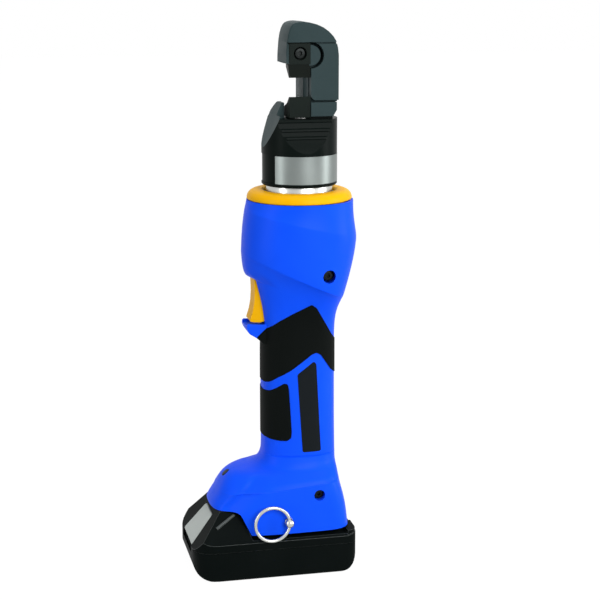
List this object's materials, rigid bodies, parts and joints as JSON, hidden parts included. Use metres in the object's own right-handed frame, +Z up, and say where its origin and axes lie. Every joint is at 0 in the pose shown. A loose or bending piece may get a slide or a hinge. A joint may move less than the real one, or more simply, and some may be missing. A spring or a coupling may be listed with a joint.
{
  "type": "cordless hydraulic cutter",
  "caption": "Cordless hydraulic cutter with a straight grip, a swivelling C-frame cutting head with a rising lower blade, a trigger and a slide-on battery.",
  "frame": {"origin": "on the ram's axis, at the plane that the battery's underside rests on", "axes": "+Z up along the ram axis, towards the cutting head; -X the front, with the trigger; -Y the side with the lanyard ring"},
  "size_m": [0.121, 0.0803, 0.383],
  "materials": {
    "blue_housing": "moulded",
    "yellow_trim": "moulded",
    "black_grip": "textured",
    "black_case": "fine texture",
    "grey_button": "matte",
    "plate": "film",
    "phosphated_steel": "phosphated",
    "black_steel": "black oxide",
    "bright_steel": "ground",
    "spring_steel": "drawn",
    "silver_foil": "brushed",
    "iron": "cast",
    "aluminium": "cast",
    "brass": "turned",
    "copper": "wound",
    "board": "lacquered",
    "cell_wrap": "film",
    "lens": "clear"
  },
  "bodies": {
    "housing": {"housing_left": "blue_housing", "housing_right": "blue_housing", "grip_upper_left": "black_grip", "grip_upper_right": "black_grip", "grip_lower_left": "black_grip", "grip_lower_right": "black_grip", "name_plate": "plate", "collar_ring": "yellow_trim", "hydraulic_cylinder": "bright_steel", "rod_gland": "brass", "return_spring": "spring_steel", "motor_can": "bright_steel", "ring_gear": "bright_steel", "gear_case": "aluminium", "lower_ball_bearing": "bright_steel", "upper_ball_bearing": "bright_steel", "pump_block": "iron", "pump_plug": "brass", "pump_spring": "spring_steel", "relief_valve": "brass", "oil_bladder": "black_grip", "trigger_pin": "bright_steel", "trigger_spring": "spring_steel", "microswitch": "black_case", "terminal_block": "black_case", "control_board": "board", "status_lens": "lens", "body_screw_left": "black_steel", "body_screw_right": "black_steel", "base_screw": "black_steel"},
    "head": {"head_frame": "phosphated_steel", "silver_band": "silver_foil", "upper_blade": "black_steel", "upper_blade_screw": "black_steel", "snap_ring": "spring_steel"},
    "ram": {"ram": "bright_steel", "piston_seal": "black_grip", "lower_blade": "black_steel"},
    "rotor": {"motor_rotor": "copper"},
    "carrier": {"planet_carrier": "iron", "eccentric_shaft": "black_steel", "eccentric_bearing": "bright_steel"},
    "planet_1": {"planet_gear_1": "bright_steel"},
    "planet_2": {"planet_gear_2": "bright_steel"},
    "planet_3": {"planet_gear_3": "bright_steel"},
    "pump_piston": {"pump_piston": "bright_steel"},
    "trigger": {"trigger": "yellow_trim"},
    "battery": {"battery_lower_case": "black_case", "battery_upper_case": "black_case", "cell_1": "cell_wrap", "cell_2": "cell_wrap", "cell_3": "cell_wrap", "cell_4": "cell_wrap", "cell_5": "cell_wrap"},
    "button": {"battery_button": "grey_button"},
    "eyelet": {"ring_eyelet": "bright_steel"},
    "ring": {"lanyard_ring": "bright_steel"}
  },
  "joints": [
    {"name": "head_swivel", "type": "hinge", "parent": "housing", "child": "head", "pos_m": [0, 0, 0.282], "axis": [0, 0, 1], "continuous": true},
    {"name": "blade_stroke", "type": "slide", "parent": "head", "child": "ram", "axis": [0, 0, 1], "range_m": [0, 0.0124], "stiffness_N_per_m": 4000, "deforming": ["return_spring"]},
    {"name": "motor_spin", "type": "hinge", "parent": "housing", "child": "rotor", "pos_m": [0, 0, 0.114], "axis": [0, 0, 1], "continuous": true},
    {"name": "carrier_turn", "type": "hinge", "parent": "housing", "child": "carrier", "pos_m": [0, 0, 0.175], "axis": [0, 0, 1], "continuous": true},
    {"name": "planet_spin_1", "type": "hinge", "parent": "carrier", "child": "planet_1", "pos_m": [0.009, 0, 0.1434], "axis": [0, 0, 1], "continuous": true},
    {"name": "planet_spin_2", "type": "hinge", "parent": "carrier", "child": "planet_2", "pos_m": [-0.0045, 0.00779, 0.1434], "axis": [0, 0, 1], "continuous": true},
    {"name": "planet_spin_3", "type": "hinge", "parent": "carrier", "child": "planet_3", "pos_m": [-0.0045, -0.00779, 0.1434], "axis": [0, 0, 1], "continuous": true},
    {"name": "pump_stroke", "type": "slide", "parent": "housing", "child": "pump_piston", "axis": [1, 0, 0], "range_m": [0, 0.0024], "stiffness_N_per_m": 800, "deforming": ["pump_spring"]},
    {"name": "trigger_pull", "type": "hinge", "parent": "housing", "child": "trigger", "pos_m": [-0.0245, 0, 0.1996], "axis": [0, -1, 0], "range_deg": [0, 6], "stiffness_Nm_per_rad": 1.5, "deforming": ["trigger_spring"]},
    {"name": "battery_slide", "type": "slide", "parent": "housing", "child": "battery", "axis": [-1, 0, 0], "range_m": [0, 0.1]},
    {"name": "button_press", "type": "slide", "parent": "battery", "child": "button", "axis": [-0.6273, 0, -0.7788], "range_m": [0, 0.003], "stiffness_N_per_m": 600},
    {"name": "eyelet_turn", "type": "hinge", "parent": "housing", "child": "eyelet", "pos_m": [-0.0154, -0.0396, 0.0409], "axis": [0, 1, 0], "continuous": true},
    {"name": "ring_flip", "type": "hinge", "parent": "eyelet", "child": "ring", "pos_m": [-0.0154, -0.0396, 0.0409], "axis": [0, 0, 1], "range_deg": [0, 180]}
  ],
  "couplings": [
    {"joint": "carrier_turn", "follows": "motor_spin", "ratio": 0.25},
    {"joint": "planet_spin_1", "follows": "motor_spin", "ratio": -0.75},
    {"joint": "planet_spin_2", "follows": "motor_spin", "ratio": -0.75},
    {"joint": "planet_spin_3", "follows": "motor_spin", "ratio": -0.75}
  ]
}
